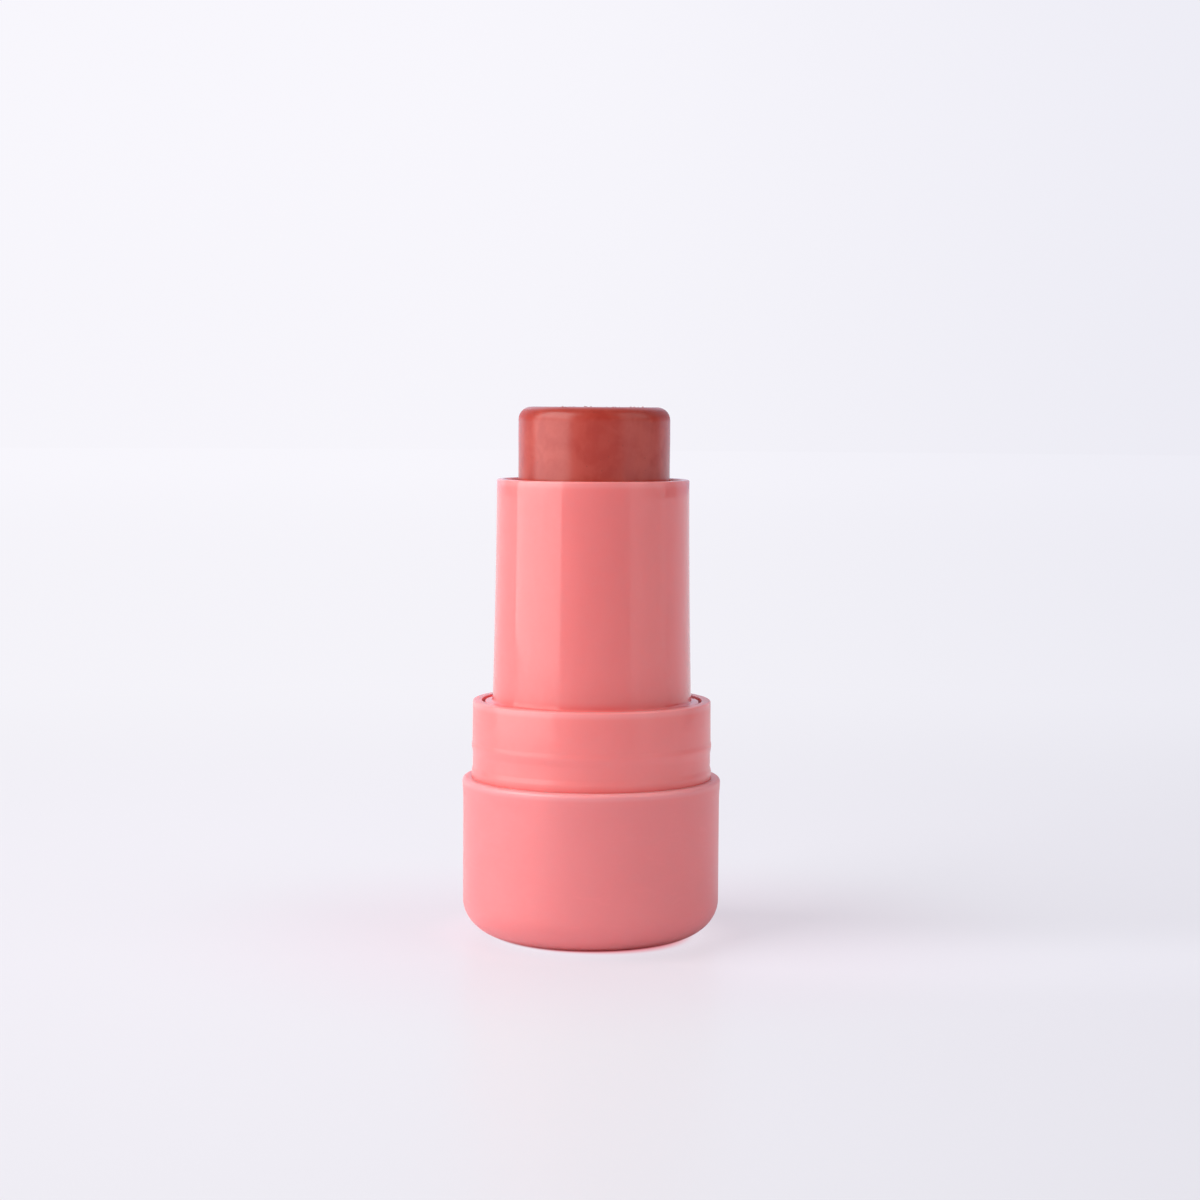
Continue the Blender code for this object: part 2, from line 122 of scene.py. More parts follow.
def angle(name, description, degrees):
    return FloatProperty(
        name=name, description=description, default=math.radians(degrees),
        subtype="ANGLE", unit="ROTATION",
    )


def count(name, description, default, low=1):
    return IntProperty(name=name, description=description, default=default, min=low)


class BaseSettings(PropertyGroup):
    wall: length("Wall", "Thickness of the cup's wall", 0.8)
    floor: length("Floor", "Height of the cup's inner floor", 1.3)
    foot_rounding: length("Foot Rounding", "Width of the rounded foot", 4.7)
    foot_height: length("Foot Height", "Height of the rounded foot", 4.0)
    foot_ring: length("Foot Ring", "Width of the ring that the stick stands on", 2.2)
    recess: length("Recess", "Depth of the recess inside the foot ring", 0.25)
    gate: length("Gate", "Radius of the moulding gate's dimple in the recess", 0.7)
    lip_radius: length("Lip Radius", "Outer radius of the lip", 14.26)
    lip_flare: length("Lip Flare", "How far the lip stands out over the wall", 0.13)
    lip_height: length("Lip Height", "Height over which the wall flares to the lip", 2.5)
    lip_rise: length("Lip Rise", "How far the rounded lip stands over the cap's seat", 0.13)
    rim_rounding: length("Rim Rounding", "Rounding of the rim's outer edge", 0.45)
    mouth: length("Mouth", "Inner radius of the rim, which closes on the neck ring", 13.21)
    ribs: count("Ribs", "Ribs inside the cup that carry the neck ring", 6)
    rib_width: length("Rib Width", "Thickness of a rib", 0.9)
    rib_height: length("Rib Height", "Height of a rib over the inner floor", 5.5)
    colour: colour("Colour", "Soft-touch pink", (0.665, 0.183, 0.187))


class NeckSettings(PropertyGroup):
    radius: length("Radius", "Outer radius between the rim and the upper bead", 13.14)
    taper: length("Taper", "How much slimmer the ring is at its rim", 0.045)
    waist: length("Waist", "How much slimmer the ring is between the beads", 0.045)
    wall: length("Wall", "Thickness of the neck ring", 0.79)
    lip_bore: length("Lip Bore", "Inner radius at the rim, over the tube's collar", 12.1)
    rim_drop: length("Rim Drop", "How far the rim lies under the packed rim", 0.05)
    upper_bead: length("Upper Bead", "Height of the upper bead's crest over the base's rim", 3.72)
    upper_lead: length("Upper Lead", "Height of the upper bead's lead-in", 0.6)
    upper_fall: length("Upper Fall", "Height of the upper bead's lower flank", 1.0)
    lower_bead: length("Lower Bead", "Height of the lower bead's crest over the base's rim", 0.8)
    lower_lead: length("Lower Lead", "Height of the lower bead's lead-in", 0.7)
    lower_hold: length("Lower Hold", "How far the lower bead goes on into the base", 1.3)
    lower_fall: length("Lower Fall", "Height of the lower bead's lower flank", 0.5)
    proud: length("Bead Proud", "How far the beads stand out", 0.07)
    rim_rounding: length("Rim Rounding", "Rounding of the rim's outer edge", 0.2)
    partition: length("Partition", "Thickness of the partition under the mechanism", 1.0)
    socket_bore: length("Socket Bore", "Inner radius of the guide's socket", 7.35)
    socket_wall: length("Socket Wall", "Thickness of the socket", 1.5)
    ribs: count("Ribs", "Ribs between the socket and the skirt", 6)
    colour: colour("Colour", "Satin pink", (0.695, 0.168, 0.165))


class TubeSettings(PropertyGroup):
    wall: length("Wall", "Thickness of the tube at its rim", 0.78)
    rim_radius: length("Rim Radius", "Outer radius at the rim", 10.56)
    foot_radius: length("Foot Radius", "Outer radius at the shoulder", 10.93)
    rim_drop: length("Rim Drop", "How far the rim lies under the packed rim", 0.18)
    rim_rounding: length("Rim Rounding", "Rounding of the rim's outer edge", 0.22)
    mouth_rounding: length("Mouth Rounding", "Rounding of the rim's inner edge", 0.2)
    drop: length("Drop", "How far the shoulder lies under the neck ring's rim", 0.17)
    foot_rounding: length("Foot Rounding", "Hollow rounding between tube and shoulder", 0.3)
    shoulder: length("Shoulder", "Height from the shoulder's underside to the neck ring's rim", 1.2)
    shoulder_edge: length("Shoulder Edge", "Radius of the shoulder's upper edge", 11.78)
    step: length("Step", "Height of the step at the shoulder's edge", 0.3)
    seat: length("Seat", "Radius under the step, inside the neck ring's lip", 12.02)
    skirt_wall: length("Skirt Wall", "Thickness of the skirt under the shoulder", 0.9)
    collar: length("Collar", "Radius of the collar that guides the skirt in the neck ring", 12.14)
    colour: colour("Colour", "Glossy pink", (0.66, 0.146, 0.143))


class BlushSettings(PropertyGroup):
    radius: length("Radius", "Radius of the blush over its carrier", 8.3)
    offset: length("Offset", "How far the blush was poured off its axis", 0.09)
    edge_rounding: length("Edge Rounding", "Rounding of the blush's top edge", 1.4)
    swell: length("Swell", "How far the poured surface swells and sinks", 0.04)
    crumbs: count("Crumbs", "Crumbs on the far half of the top", 10, 0)
    crumb_size: length("Crumb Size", "Radius of the largest crumb", 0.12)
    colour: colour("Colour", "Brick-red cream blush", (0.325, 0.020, 0.009))
    haze: colour("Haze", "Paler bloom and flow marks in the blush", (0.375, 0.037, 0.021))


class MechanismSettings(PropertyGroup):
    guide_wall: length("Guide Wall", "Thickness of the slotted guide", 0.5)
    guide_bore: length("Guide Bore", "Inner radius of the slotted guide", 8.45)
    slot: length("Slot", "Width of the guide's slots", 1.24)
    splines: count("Splines", "Splines on the guide's spigot", 4)
    carrier_wall: length("Carrier Wall", "Thickness of the blush's carrier", 0.4)
    lug: length("Lug", "Radius of the carrier's lugs", 0.5)
    resin: colour("Resin", "Natural white resin of the mechanism", (0.78, 0.75, 0.69))
    silicone: colour("Silicone", "Cloudy silicone of the friction ring", (0.62, 0.61, 0.58))


class StageSettings(PropertyGroup):
    key: level("Key", "Brightness of the left softbox's lower part", 2.05)
    key_top: level("Key Top", "Brightness of the left softbox's upper part", 5.7)
    fill: level("Fill", "Brightness of the right softbox's lower part", 0.52)
    fill_top: level("Fill Top", "Brightness of the right softbox's upper part", 1.65)
    softbox_distance: length("Softbox Distance", "From the stick to each softbox", 450.0)
    softbox_middle: length("Softbox Middle", "Height where the softboxes' upper parts begin", 190.0)
    softbox_height: length("Softbox Height", "Top of the softboxes over the floor", 800.0)
    key_start: angle("Key Start", "Near edge of the left softbox, from the camera's side", 36.8)
    key_end: angle("Key End", "Far edge of the left softbox", 101.0)
    fill_start: angle("Fill Start", "Near edge of the right softbox, from the camera's side", 44.0)
    fill_end: angle("Fill End", "Far edge of the right softbox", 94.0)
    front: colour("Front", "Studio light on the camera's side", (0.452, 0.445, 0.452))
    left_back: colour("Left Back", "Studio behind the stick, to the left", (0.92, 0.84, 1.0))
    right_back: colour("Right Back", "Studio behind the stick, to the right", (0.60, 0.56, 0.70))
    right_gap: colour("Right Gap", "Gap between right softbox and backdrop", (0.09, 0.08, 0.09))
    floor: colour("Floor", "Pale floor", (0.85, 0.842, 0.89))
    # Painted light and shade on the floor: pink bounce light round the stick, a halo close to the
    # foot, redder bounce along it and a red contact shadow under it
    bounce: colour("Bounce", "Tint of the floor round the stick", (1.0, 0.955, 0.975))
    halo: colour("Halo", "Tint of the floor close to the foot", (1.0, 0.86, 0.90))
    near_bounce: colour("Near Bounce", "Tint of the floor along the foot", (1.0, 0.44, 0.48))
    contact: colour("Contact", "Red of the narrow shadow under the foot", (0.42, 0.018, 0.028))
    floor_glow: share("Floor Glow", "How much of the backdrop's light the near floor shows", 0.65)
    # Painted light: the backdrop is lighter to the left than to the right
    left_backdrop: colour("Left Backdrop", "Backdrop colour to the left", (0.955, 0.942, 0.995))
    right_backdrop: colour("Right Backdrop", "Backdrop colour to the right", (0.855, 0.85, 0.925))
    camera_place: FloatVectorProperty(
        name="Camera Place", description="Where the camera stands", size=3,
        default=(0.00083, -0.285, 0.05855), precision=5, subtype="TRANSLATION", unit="LENGTH",
    )
    camera_pitch: angle("Camera Pitch", "How far the camera looks down", 4.318)
    camera_roll: angle("Camera Roll", "How far the camera leans", 0.38)
    lens: FloatProperty(
        name="Lens", description="Focal length in millimetres, on a 36 mm sensor", default=77.95
    )


class BlushStickSettings(PropertyGroup):
    base: PointerProperty(type=BaseSettings)
    neck: PointerProperty(type=NeckSettings)
    tube: PointerProperty(type=TubeSettings)
    blush: PointerProperty(type=BlushSettings)
    mechanism: PointerProperty(type=MechanismSettings)
    stage: PointerProperty(type=StageSettings)


# Modelling by hand: select, draw, spin, cut and join

SEGMENTS = 192
FINE_SEGMENTS = 256
SMOOTH_ANGLE = math.radians(28.0)


def select_only(piece=None):
    """Leaves the given piece alone selected and active, in object mode."""
    if bpy.context.object and bpy.context.object.mode != "OBJECT":
        bpy.ops.object.mode_set(mode="OBJECT")
    bpy.ops.object.select_all(action="DESELECT")
    if piece:
        piece.select_set(True)
        bpy.context.view_layer.objects.active = piece


def edit_all():
    """Enters edit mode with the whole mesh selected."""
    bpy.ops.object.mode_set(mode="EDIT")
    bpy.ops.mesh.select_all(action="SELECT")


def leave_edit():
    bpy.ops.object.mode_set(mode="OBJECT")


def turn_selected(turn, axis):
    """Turns what is selected about an axis through the origin."""
    bpy.ops.transform.rotate(value=turn, orient_axis=axis, center_override=(0.0, 0.0, 0.0))


def choose(piece, kind, test):
    """Selects, in edit mode, the vertices, edges or faces that pass the test."""
    bpy.ops.mesh.select_mode(type=kind)
    bpy.ops.mesh.select_all(action="DESELECT")
    model = bmesh.from_edit_mesh(piece.data)
    parts = {"VERT": model.verts, "EDGE": model.edges, "FACE": model.faces}[kind]
    found = [part for part in parts if test(part)]
    if not found:
        raise RuntimeError(f"{piece.name}: nothing was found to select")
    for part in found:
        part.select_set(True)
    model.select_flush_mode()
    bmesh.update_edit_mesh(piece.data)


def draw(name, outline, closed):
    """Draws (radius, height, rounding) corners as a line on the XZ plane, and rounds them."""
    select_only()
    bpy.ops.mesh.primitive_plane_add(size=MM)
    piece = bpy.context.object
    piece.name = piece.data.name = name
    edit_all()
    bpy.ops.mesh.select_mode(type="VERT")
    bpy.ops.mesh.merge(type="CENTER")
    corners = [(*corner, 0.0)[:3] for corner in outline]
    bpy.ops.transform.translate(value=(corners[0][0], 0.0, corners[0][1]))
    for before, after in zip(corners, corners[1:]):
        step = (after[0] - before[0], 0.0, after[1] - before[1])
        bpy.ops.mesh.extrude_region_move(TRANSFORM_OT_translate={"value": step})
    if closed:
        ends = [corners[0], corners[-1]]
        choose(piece, "VERT", lambda vert: is_at(vert, ends))
        bpy.ops.mesh.edge_face_add()
    for rounding in sorted({corner[2] for corner in corners} - {0.0}):
        places = [corner for corner in corners if corner[2] == rounding]
        choose(piece, "VERT", lambda vert: is_at(vert, places))
        steps = max(3, min(24, round(6 * math.sqrt(rounding / MM))))
        bpy.ops.mesh.bevel(offset=rounding, offset_type="OFFSET", affect="VERTICES", segments=steps)
    return piece


def is_at(vert, places):
    return any(
        abs(vert.co.x - place[0]) < SAME_PLACE and abs(vert.co.z - place[1]) < SAME_PLACE
        for place in places
    )


def spin(name, outline, closed=True, segments=SEGMENTS):
    """Draws an outline and spins it round the axis into a closed shell."""
    piece = draw(name, outline, closed)
    bpy.ops.mesh.select_all(action="SELECT")
    bpy.ops.mesh.spin(
        steps=segments, angle=math.tau,
        center=(0.0, 0.0, 0.0), axis=(0.0, 0.0, 1.0), use_auto_merge=True,
    )
    tidy_shell()
    return piece


def tidy_shell():
    bpy.ops.mesh.select_all(action="SELECT")
    bpy.ops.mesh.remove_doubles(threshold=MERGE_DISTANCE)
    bpy.ops.mesh.normals_make_consistent(inside=False)
    leave_edit()


def plate(name, outline, thickness):
    """Draws an outline, fills it and extrudes it to a plate across the XZ plane."""
    piece = draw(name, outline, True)
    bpy.ops.mesh.select_all(action="SELECT")
    bpy.ops.mesh.edge_face_add()
    bpy.ops.transform.translate(value=(0.0, -thickness / 2.0, 0.0))
    bpy.ops.mesh.extrude_region_move(TRANSFORM_OT_translate={"value": (0.0, thickness, 0.0)})
    tidy_shell()
    return piece


def copies_around(piece, number):
    """Copies a piece round the axis, each copy with its own mesh, and joins them."""
    ring = [piece]
    for index in range(1, number):
        select_only(piece)
        bpy.ops.object.duplicate(linked=False)
        ring.append(bpy.context.object)
        edit_all()
        turn_selected(math.tau * index / number, "Z")
        leave_edit()
    return join(ring)


def join(group):
    select_only(group[0])
    for piece in group[1:]:
        piece.select_set(True)
    if len(group) > 1:
        bpy.ops.object.join()
    return group[0]


def combine(piece, tool, operation):
    """Applies a Boolean with the tool, and deletes the tool."""
    select_only(piece)
    bpy.ops.object.modifier_add(type="BOOLEAN")
    change = piece.modifiers[-1]
    change.operation = operation
    change.solver = "EXACT"
    change.object = tool
    bpy.ops.object.modifier_apply(modifier=change.name)
    bpy.data.objects.remove(tool)
    return piece


def finish_piece(piece, look, body, slot, *nodes):
    """Shades a piece, gives it its material and lets it ride on its body for its CAD nodes."""
    select_only(piece)
    bpy.ops.object.shade_smooth_by_angle(angle=SMOOTH_ANGLE)
    piece.data.materials.clear()
    piece.data.materials.append(look)
    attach(piece, body)
    if nodes:
        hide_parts(*nodes)
    return piece


def smooth(way):
    return way * way * (3.0 - 2.0 * way)


def bead(above, crest, below, height, lead, hold, fall, steps=14):
    """Points of a snap bead, from its top down: its lead-in, its crest and hold, and its fall."""
    points = []
    for step in range(steps + 1):
        way = 1.0 - step / steps
        points.append((crest + (above - crest) * smooth(way), height + lead * way))
    if hold:
        points.append((crest, height - hold))
    for step in range(1, steps + 1):
        way = step / steps
        points.append((crest + (below - crest) * smooth(way), height - hold - fall * way))
    return points


# Shader sums


class Value:
    """A socket that takes part in sums. Each sum adds its Math node."""

    def __init__(self, tree, socket):
        self.tree = tree
        self.socket = socket

    def sum(self, operation, *values):
        return self.tree.add(
            "ShaderNodeMath", {"operation": operation}, dict(enumerate(values))
        )

    def __add__(self, other):
        return self.sum("ADD", self, other)

    def __sub__(self, other):
        return self.sum("SUBTRACT", self, other)

    def __rsub__(self, other):
        return self.sum("SUBTRACT", other, self)

    def __mul__(self, other):
        return self.sum("MULTIPLY", self, other)

    __radd__ = __add__
    __rmul__ = __mul__


class Tree:
    """A node tree of a material or of the world, cleared to its output."""

    def __init__(self, owner, output):
        owner.use_nodes = True
        self.nodes = owner.node_tree.nodes
        self.links = owner.node_tree.links
        self.nodes.clear()
        self.output = self.nodes.new(output)
        self.owner = owner

    def add(self, kind, settings=(), inputs=(), output=0):
        """Adds a node: its settings first, then the values or links of its sockets."""
        node = self.nodes.new(kind)
        for name, value in dict(settings).items():
            setattr(node, name, value)
        for socket, value in dict(inputs).items():
            if isinstance(value, Value):
                self.links.new(value.socket, node.inputs[socket])
            else:
                node.inputs[socket].default_value = value
        return Value(self, node.outputs[output])

    def surface(self, shader):
        self.links.new(shader.socket, self.output.inputs["Surface"])
        return self.owner

    def place(self, stretch=(1.0, 1.0, 1.0)):
        """Object coordinates in millimetres, stretched along each axis."""
        point = self.add("ShaderNodeTexCoord", output="Object")
        return self.vector("MULTIPLY", point, tuple(part / MM for part in stretch))

    def vector(self, operation, *vectors, output="Vector"):
        inputs = dict(enumerate(vectors))
        return self.add("ShaderNodeVectorMath", {"operation": operation}, inputs, output)

    def along(self, vector, axis):
        """One coordinate of a vector."""
        return self.add("ShaderNodeSeparateXYZ", {}, {"Vector": vector}, axis)

    def grain(self, place, scale, detail=2.0, roughness=0.5, distortion=0.0):
        return self.add("ShaderNodeTexNoise", {}, {
            "Vector": place, "Scale": scale, "Detail": detail,
            "Roughness": roughness, "Distortion": distortion,
        })

    def step(self, value, start, end, low=0.0, high=1.0):
        """A smooth step of the value from low at start to high at end."""
        return self.add(
            "ShaderNodeMapRange",
            {"interpolation_type": "SMOOTHSTEP", "clamp": True},
            {"Value": value, "From Min": start, "From Max": end, "To Min": low, "To Max": high},
        )

    def within(self, value, band):
        """1 before the band, falling to 0 across it."""
        return self.step(value, *band, 1.0, 0.0)

    def ray(self, kind):
        """1 for rays of this kind and 0 for others."""
        return self.add("ShaderNodeLightPath", output=f"Is {kind} Ray")

    def blend(self, factor, first, second, mode="MIX"):
        """Mixes two colours, given as values or as (red, green, blue)."""
        first, second = (
            tint if isinstance(tint, Value) else (*tint, 1.0) for tint in (first, second)
        )
        return self.add(
            "ShaderNodeMix",
            {"data_type": "RGBA", "blend_type": mode},
            {0: factor, 6: first, 7: second},
            2,
        )

    def bump(self, height, distance, normal=None):
        inputs = {"Height": height, "Distance": distance, "Strength": 1.0}
        if normal:
            inputs["Normal"] = normal
        return self.add("ShaderNodeBump", {}, inputs)

    def plastic(self, **inputs):
        named = {name.replace("_", " ").title(): value for name, value in inputs.items()}
        named = {name.replace("Ior", "IOR"): value for name, value in named.items()}
        shader = self.add("ShaderNodeBsdfPrincipled", {}, named, "BSDF")
        return self.surface(shader)


PINK_DEPTH = {
    "subsurface_weight": 0.5, "subsurface_radius": (1.0, 0.3, 0.25), "subsurface_scale": 1.2 * MM
}


def material(name):
    return Tree(bpy.data.materials.new(name), "ShaderNodeOutputMaterial")


def tinted(tint, *gains):
    """Scales a colour by one gain, or by one each for red, green and blue."""
    gains = gains if len(gains) == 3 else gains * 3
    return tuple(min(1.0, part * gain) for part, gain in zip(tint, gains))


def painted_seat_shade(tree, shade, tint, seat, reach, amount):
    """Paints shade and bounced pink light into a colour towards a seat, where the next pink piece
    would shade it and bounce light in: the colour turns a deeper red.
    """
    height = tree.along(tree.place(), "Z")
    near = tree.step(height, (seat + reach) / MM, seat / MM)
    return tree.blend(near * amount, shade, tinted(tint, 1.1, 0.42, 0.37))


def painted_rim_highlight(tree, shade, tint, rim, reach):
    """Paints a highlight along a rim: a paler colour, standing in for the light that its thin
    translucent edge would scatter.
    """
    height = tree.along(tree.place(), "Z")
    near = tree.step(height, (rim - reach) / MM, (rim - reach * 0.35) / MM)
    return tree.blend(near * 0.36, shade, tinted(tint, 0.98, 1.85, 1.9))


def specks(tree, place, density, size, share_kept):
    """Sparse dust specks: 1 inside a speck and 0 elsewhere."""
    cells = ("ShaderNodeTexVoronoi", {"feature": "F1"}, {"Vector": place, "Scale": density})
    far = tree.add(*cells, "Distance")
    drawn = tree.add("ShaderNodeSeparateColor", {}, {"Color": tree.add(*cells, "Color")})
    return tree.step(far, size, size * 0.5) * tree.step(drawn, share_kept, share_kept * 0.9)


def soft_touch_look(tint, rim):
    """Matte soft-touch paint: fine sprayed grain, faint handling marks and a few dust specks."""
    tree = material("soft_touch_pink")
    place = tree.place()
    cloud = tree.grain(place, 0.16, 3.0)
    grain = tree.grain(place, 9.0, 2.0, 0.6)
    scuff = tree.grain(tree.place((0.5, 0.5, 2.4)), 0.55, 5.0, 0.62, 1.2)
    scuff = tree.step(scuff, 0.56, 0.72)
    shade = tree.blend(cloud, tinted(tint, 0.965), tinted(tint, 1.035))
    shade = tree.blend(scuff * 0.12, shade, tinted(tint, 1.18))
    # Painted shade and bounced light turn the colour deeper red towards the foot
    shade = painted_seat_shade(tree, shade, tint, 0.0, 0.8 * MM, 0.75)
    # Painted highlight: the colour turns paler along the rim
    shade = painted_rim_highlight(tree, shade, tint, rim, 0.95 * MM)
    shade = tree.blend(specks(tree, place, 0.42, 0.035, 0.16) * 0.55, shade, tinted(tint, 0.3))
    roughness = 0.31 + cloud * 0.05 - scuff * 0.05 + grain * 0.05
    ripple = tree.bump(cloud, 0.02 * MM)
    normal = tree.bump(grain, 0.0025 * MM, ripple)
    return tree.plastic(base_color=shade, roughness=roughness, normal=normal, ior=1.5, **PINK_DEPTH)


def satin_look(tint, seat, rim):
    """Satin moulded ring: faint flow lines round the ring and slight sink marks."""
    tree = material("satin_pink")
    place = tree.place()
    cloud = tree.grain(place, 0.2, 3.0)
    flow = tree.grain(tree.place((0.25, 0.25, 3.2)), 1.1, 3.0, 0.55)
    grain = tree.grain(place, 11.0, 2.0, 0.6)
    shade = tree.blend(cloud, tinted(tint, 0.97), tinted(tint, 1.03))
    # Painted shade and bounced light turn the colour deeper red towards the base's rim
    shade = painted_seat_shade(tree, shade, tint, seat, 0.75 * MM, 0.45)
    # Painted highlight: the colour turns paler along the rim
    shade = painted_rim_highlight(tree, shade, tint, rim, 0.9 * MM)
    shade = tree.blend(specks(tree, place, 0.5, 0.035, 0.18) * 0.6, shade, tinted(tint, 0.3))
    roughness = 0.4 + cloud * 0.06 + flow * 0.06
    ripple = tree.bump(flow, 0.006 * MM)
    normal = tree.bump(grain, 0.0012 * MM, ripple)
    return tree.plastic(
        base_color=shade, roughness=roughness, normal=normal, ior=1.45,
        coat_weight=0.5, coat_roughness=0.16, coat_ior=1.5, **PINK_DEPTH,
    )


def gloss_look(tint, seat, rim):
    """Glossy moulded tube: very slight waviness, hairlines and a few dust specks."""
    tree = material("gloss_pink")
    place = tree.place()
    cloud = tree.grain(place, 0.14, 2.0)
    wave = tree.grain(tree.place((1.0, 1.0, 0.45)), 0.5, 2.0, 0.4)
    hair = tree.grain(tree.place((3.0, 3.0, 0.14)), 2.6, 3.0, 0.6, 0.4)
    hair = tree.step(hair, 0.62, 0.74)
    shade = tree.blend(cloud, tinted(tint, 0.98), tinted(tint, 1.02))
    # Painted shade and bounced light turn the colour deeper red towards the shoulder
    shade = painted_seat_shade(tree, shade, tint, seat, 1.1 * MM, 0.4)
    # Painted highlight: the colour turns paler along the rim
    shade = painted_rim_highlight(tree, shade, tint, rim, 0.9 * MM)
    shade = tree.blend(specks(tree, place, 0.4, 0.035, 0.15) * 0.65, shade, tinted(tint, 0.25))
    roughness = 0.4 + cloud * 0.05 + hair * 0.05
    normal = tree.bump(wave, 0.008 * MM)
    return tree.plastic(
        base_color=shade, roughness=roughness, normal=normal, ior=1.42,
        coat_weight=0.85, coat_roughness=0.05, coat_ior=1.5, **PINK_DEPTH,
    )


def blush_look(settings):
    """Pressed cream blush: waxy sheen, cloudy pigment, upright drag marks and tiny pits."""
    tree = material("brick_red_blush")
    place = tree.place()
    cloud = tree.grain(place, 0.3, 4.0, 0.5, 0.9)
    drag = tree.grain(tree.place((1.0, 1.0, 0.3)), 1.1, 3.0, 0.5, 0.8)
    mottle = tree.grain(place, 0.9, 4.0, 0.55, 0.6)
    pits = tree.grain(place, 6.5, 3.0, 0.6)
    bloom = tree.step(cloud * 0.6 + drag * 0.15 + mottle * 0.25, 0.40, 0.62)
    shade = tree.blend(bloom, settings.colour, settings.haze)
    shade = tree.blend(tree.step(mottle, 0.55, 0.8) * 0.15, shade, tinted(settings.colour, 0.8))
    specked = specks(tree, place, 1.3, 0.12, 0.3) * 0.5
    shade = tree.blend(specked, shade, tinted(settings.colour, 0.3))
    roughness = 0.5 + cloud * 0.08 + mottle * 0.06
    height = tree.along(place, "Z")
    top = blush_high.z / MM
    dulled = tree.step(height, top - 1.7, top - 0.95) * tree.step(height, top - 0.15, top - 0.5)
    # Painted shade: the blush's colour darkens towards its top edge
    edge = tree.step(height, top - 1.5, top - 0.4) * 0.4
    shade = tree.blend(edge, shade, tinted(settings.colour, 0.6))
    ripple = tree.bump(cloud, 0.02 * MM)
    dent = tree.bump(mottle, 0.006 * MM, ripple)
    normal = tree.bump(tree.step(pits, 0.74, 0.62), 0.003 * MM, dent)
    return tree.plastic(
        base_color=shade, roughness=roughness, normal=normal, ior=1.22,
        coat_weight=1.0 - dulled * 0.55, coat_roughness=0.25, coat_ior=1.55,
        subsurface_weight=0.15, subsurface_radius=(1.0, 0.35, 0.25), subsurface_scale=0.5 * MM,
    )


def resin_look(tint):
    """Natural moulded resin: cloudy white, satin, with faint flow marks. It is made once."""
    made = bpy.data.materials.get("natural_resin")
    if made:
        return made
    tree = material("natural_resin")
    place = tree.place()
    cloud = tree.grain(place, 0.3, 4.0, 0.55)
    flow = tree.grain(tree.place((1.0, 1.0, 0.3)), 1.0, 3.0, 0.5, 0.6)
    grain = tree.grain(place, 10.0, 2.0, 0.6)
    shade = tree.blend(cloud, tinted(tint, 0.94), tinted(tint, 1.05))
    roughness = 0.34 + flow * 0.12
    normal = tree.bump(grain, 0.0015 * MM, tree.bump(flow, 0.008 * MM))
    return tree.plastic(
        base_color=shade, roughness=roughness, normal=normal, ior=1.5,
        subsurface_weight=0.25, subsurface_radius=(1.0, 0.9, 0.75), subsurface_scale=0.6 * MM,
    )


def silicone_look(tint):
    """Cloudy silicone with a dry, slightly dusty surface."""
    tree = material("cloudy_silicone")
    place = tree.place()
    cloud = tree.grain(place, 0.8, 4.0, 0.6)
    dust = tree.grain(place, 7.0, 3.0, 0.7)
    shade = tree.blend(cloud, tinted(tint, 0.9), tinted(tint, 1.08))
    roughness = 0.45 + dust * 0.2
    normal = tree.bump(dust, 0.004 * MM)
    return tree.plastic(
        base_color=shade, roughness=roughness, normal=normal, ior=1.41,
        subsurface_weight=0.35, subsurface_radius=(1.0, 1.0, 0.95), subsurface_scale=0.7 * MM,
    )


# One operator for each piece


class BLUSH_STICK_OT_base_cup(Operator):
    """Soft-touch base cup with a rounded foot, a flared lip and ribs inside"""

    bl_idname = "blush_stick.base_cup"
    bl_label = "Base Cup"

    def execute(self, context):
        sizes = context.scene.blush_stick.base
        lip_radius = sizes.lip_radius
        rim = base_high.z + sizes.lip_rise
        radius = lip_radius - sizes.lip_flare
        bore = radius - sizes.wall
        ring_radius = radius - sizes.foot_rounding - sizes.foot_ring
        fine = sizes.rim_rounding
        mouth_foot, mouth_low, mouth_rounding = 1.2 * MM, 0.9 * MM, 0.05 * MM
        inner_rounding = sizes.foot_rounding - sizes.wall
        outline = [
            (0.0, sizes.floor),
            (bore, sizes.floor, inner_rounding),
            (bore, rim - mouth_foot),
            (sizes.mouth, rim - mouth_low),
            (sizes.mouth, rim, mouth_rounding),
            (lip_radius, rim, fine),
        ]
        flare_foot = rim - sizes.lip_height
        flare = sizes.lip_height - fine
        for way in (0.72, 0.56, 0.42, 0.28, 0.14, 0.0):
            outline.append((radius + sizes.lip_flare * way**2, flare_foot + flare * way))
        steps = 24
        for step in range(steps + 1):
            turn = math.pi / 2.0 * step / steps
            outline.append((
                radius - sizes.foot_rounding * (1.0 - math.cos(turn)),
                sizes.foot_height * (1.0 - math.sin(turn)),
            ))
        recess_rounding = sizes.recess * 0.3
        dimple_radius, dimple_top = sizes.gate * 0.8, sizes.recess * 1.4
        outline += [
            (ring_radius, base_low.z, recess_rounding),
            (ring_radius - sizes.recess, sizes.recess, recess_rounding),
            (sizes.gate, sizes.recess),
            (dimple_radius, dimple_top),
            (0.0, dimple_top),
        ]
        cup = spin("soft_touch_base", outline, closed=False)
        rib_reach, rib_ledge, rib_toe, rib_rounding = 0.6 * MM, 1.6 * MM, 1.4 * MM, 0.2 * MM
        inner_edge = radius - sizes.foot_rounding - rib_reach
        rib_top = sizes.floor + sizes.rib_height
        in_wall = bore + sizes.wall / 2.0
        rib = [
            (bore - rib_ledge, rib_top, rib_rounding),
            (in_wall, rib_top),
            (in_wall, sizes.floor / 2.0, inner_rounding),
            (inner_edge, sizes.floor / 2.0),
            (inner_edge, sizes.floor + rib_toe, rib_rounding),
        ]
        combine(cup, copies_around(plate("base_rib", rib, sizes.rib_width), sizes.ribs), "UNION")
        look = soft_touch_look(sizes.colour, rim)
        finish_piece(cup, look, "base", "base_soft_touch", "base_cup")
        return {"FINISHED"}


